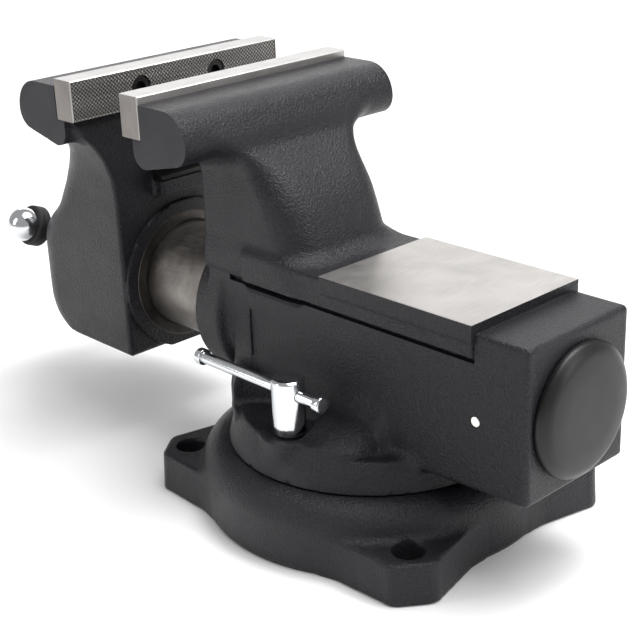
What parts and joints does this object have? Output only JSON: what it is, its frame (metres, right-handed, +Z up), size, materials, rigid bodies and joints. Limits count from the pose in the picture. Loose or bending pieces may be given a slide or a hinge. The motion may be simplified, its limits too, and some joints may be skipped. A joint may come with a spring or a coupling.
{
  "type": "bench vise",
  "caption": "Swivel-base bench vise with a tubular slide, flat and pipe jaws, an anvil, lock-down nuts with sliding bars and a sliding handle bar.",
  "frame": {"origin": "centre of the base's underside, on the swivel axis", "axes": "+Z up along the swivel axis, +Y towards the anvil end, -Y towards the spindle handle, +X along the jaws"},
  "size_m": [0.3153, 0.4672, 0.2439],
  "materials": {
    "casting": "black hammered powder coat",
    "cap": "satin black",
    "ground_steel": "ground",
    "steel": "machined",
    "iron": "as cast and machined",
    "black_steel": "black oxide",
    "chrome": "polished",
    "rubber": "matt"
  },
  "bodies": {
    "base": {"base_casting": "casting", "swivel_pivot": "steel"},
    "body": {"body_casting": "casting", "fixed_jaw_insert": "ground_steel", "fixed_insert_screw_1": "black_steel", "fixed_insert_screw_2": "black_steel", "fixed_pipe_jaw": "black_steel", "fixed_pipe_jaw_screw": "black_steel", "spindle_nut": "iron", "nut_anchor_bolt": "black_steel", "rear_cap": "cap", "cap_pin": "steel", "lock_bolt_right": "steel", "lock_bolt_left": "steel"},
    "sliding_jaw": {"sliding_jaw_casting": "casting", "slide_tube": "steel", "slide_pin": "steel", "moving_jaw_insert": "ground_steel", "moving_insert_screw_1": "black_steel", "moving_insert_screw_2": "black_steel", "moving_pipe_jaw": "black_steel", "moving_pipe_jaw_screw": "black_steel"},
    "screw": {"spindle": "steel", "spindle_collar": "steel", "collar_pin": "steel", "thrust_washer": "steel"},
    "handle": {"handle_bar": "chrome", "handle_ball_near": "chrome", "handle_ball_far": "chrome", "handle_buffer_near": "rubber", "handle_buffer_far": "rubber"},
    "lock_nut_right_body": {"lock_nut_right": "chrome"},
    "lock_bar_right_body": {"lock_bar_right": "chrome", "lock_bar_cap_right": "chrome"},
    "lock_nut_left_body": {"lock_nut_left": "chrome"},
    "lock_bar_left_body": {"lock_bar_left": "chrome", "lock_bar_cap_left": "chrome"}
  },
  "joints": [
    {"name": "swivel", "type": "hinge", "parent": "base", "child": "body", "pos_m": [0, 0, 0.042], "axis": [0, 0, 1], "continuous": true},
    {"name": "jaw_slide", "type": "slide", "parent": "body", "child": "sliding_jaw", "axis": [0, 1, 0], "range_m": [-0.1166, 0.048]},
    {"name": "spindle_turn", "type": "hinge", "parent": "sliding_jaw", "child": "screw", "pos_m": [0, -0.28, 0.1005], "axis": [0, 1, 0], "range_deg": [-8395, 3455]},
    {"name": "handle_slide", "type": "slide", "parent": "screw", "child": "handle", "axis": [0.9272, 0, 0.3746], "range_m": [-0.0125, 0.179]},
    {"name": "lock_nut_right_turn", "type": "hinge", "parent": "body", "child": "lock_nut_right_body", "pos_m": [0.0685, 0, 0.0637], "axis": [0, 0, 1], "range_deg": [-10, 190]},
    {"name": "lock_bar_right_slide", "type": "slide", "parent": "lock_nut_right_body", "child": "lock_bar_right_body", "axis": [0, 1, 0], "range_m": [-0.0132, 0.0628]},
    {"name": "lock_nut_left_turn", "type": "hinge", "parent": "body", "child": "lock_nut_left_body", "pos_m": [-0.0685, 0, 0.0637], "axis": [0, 0, 1], "range_deg": [-190, 10]},
    {"name": "lock_bar_left_slide", "type": "slide", "parent": "lock_nut_left_body", "child": "lock_bar_left_body", "axis": [0, 1, 0], "range_m": [-0.0132, 0.0628]}
  ],
  "couplings": [
    {"joint": "jaw_slide", "follows": "spindle_turn", "m_per_rad": 0.00079577}
  ]
}
